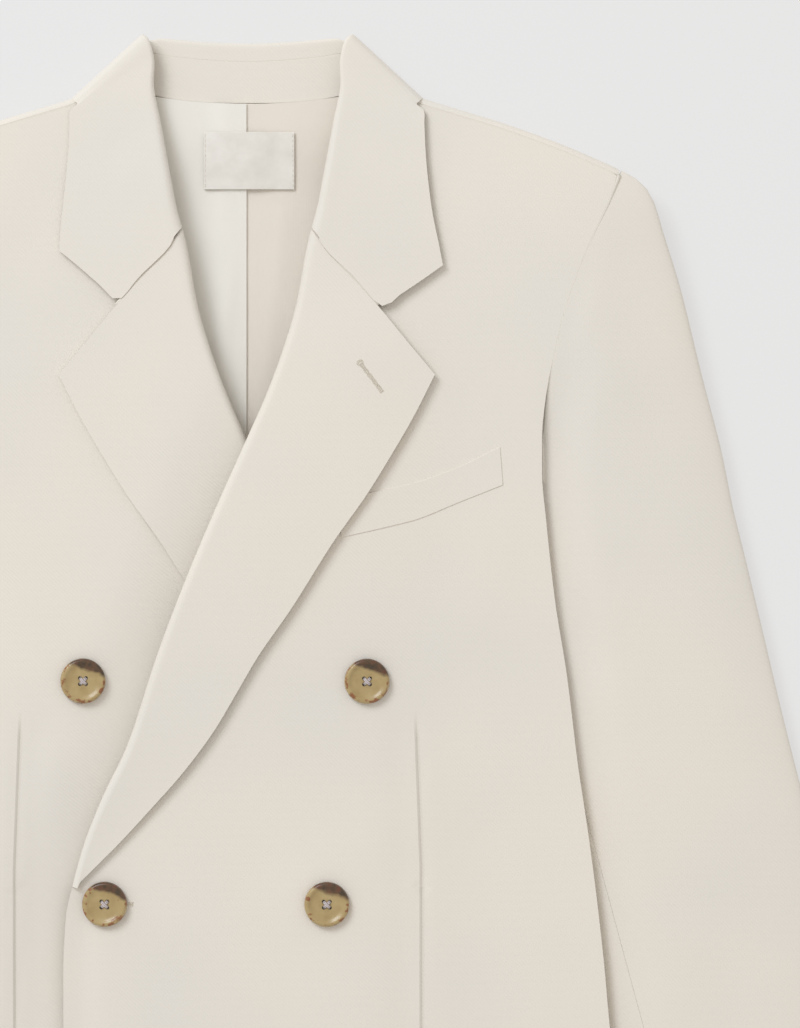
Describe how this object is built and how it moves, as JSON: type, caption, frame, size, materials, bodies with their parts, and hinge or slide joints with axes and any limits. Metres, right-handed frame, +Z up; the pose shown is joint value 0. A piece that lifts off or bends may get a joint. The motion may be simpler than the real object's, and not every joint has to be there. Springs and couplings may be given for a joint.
{
  "type": "double breasted blazer",
  "caption": "Blazer lying flat on its back, fronts lapped and buttoned, peak-width notched lapels rolled open, sleeves beside the body.",
  "frame": {"origin": "under the middle of the garment's outline, on the surface that it lies on", "axes": "+X to the wearer's left, +Y towards the collar, +Z up off the surface"},
  "size_m": [0.7394, 0.775, 0.0321],
  "materials": {
    "cloth": "matte ivory twill",
    "lining": "soft satin lining",
    "label": "woven satin",
    "button": "polished horn pattern"
  },
  "bodies": {
    "root": {"front_left": "cloth", "front_right": "cloth", "facing_left": "cloth", "facing_right": "cloth", "back_left": "cloth", "back_right": "cloth", "side_left": "cloth", "side_right": "cloth", "sleeve_top_left": "cloth", "sleeve_top_right": "cloth", "sleeve_under_left": "cloth", "sleeve_under_right": "cloth", "collar_fall": "cloth", "collar_stand": "cloth", "breast_welt": "cloth", "lining_left": "lining", "lining_right": "lining", "neck_label": "label", "button_upper_right": "button", "button_upper_left": "button", "button_lower_right": "button", "button_lower_left": "button"}
  },
  "joints": []
}
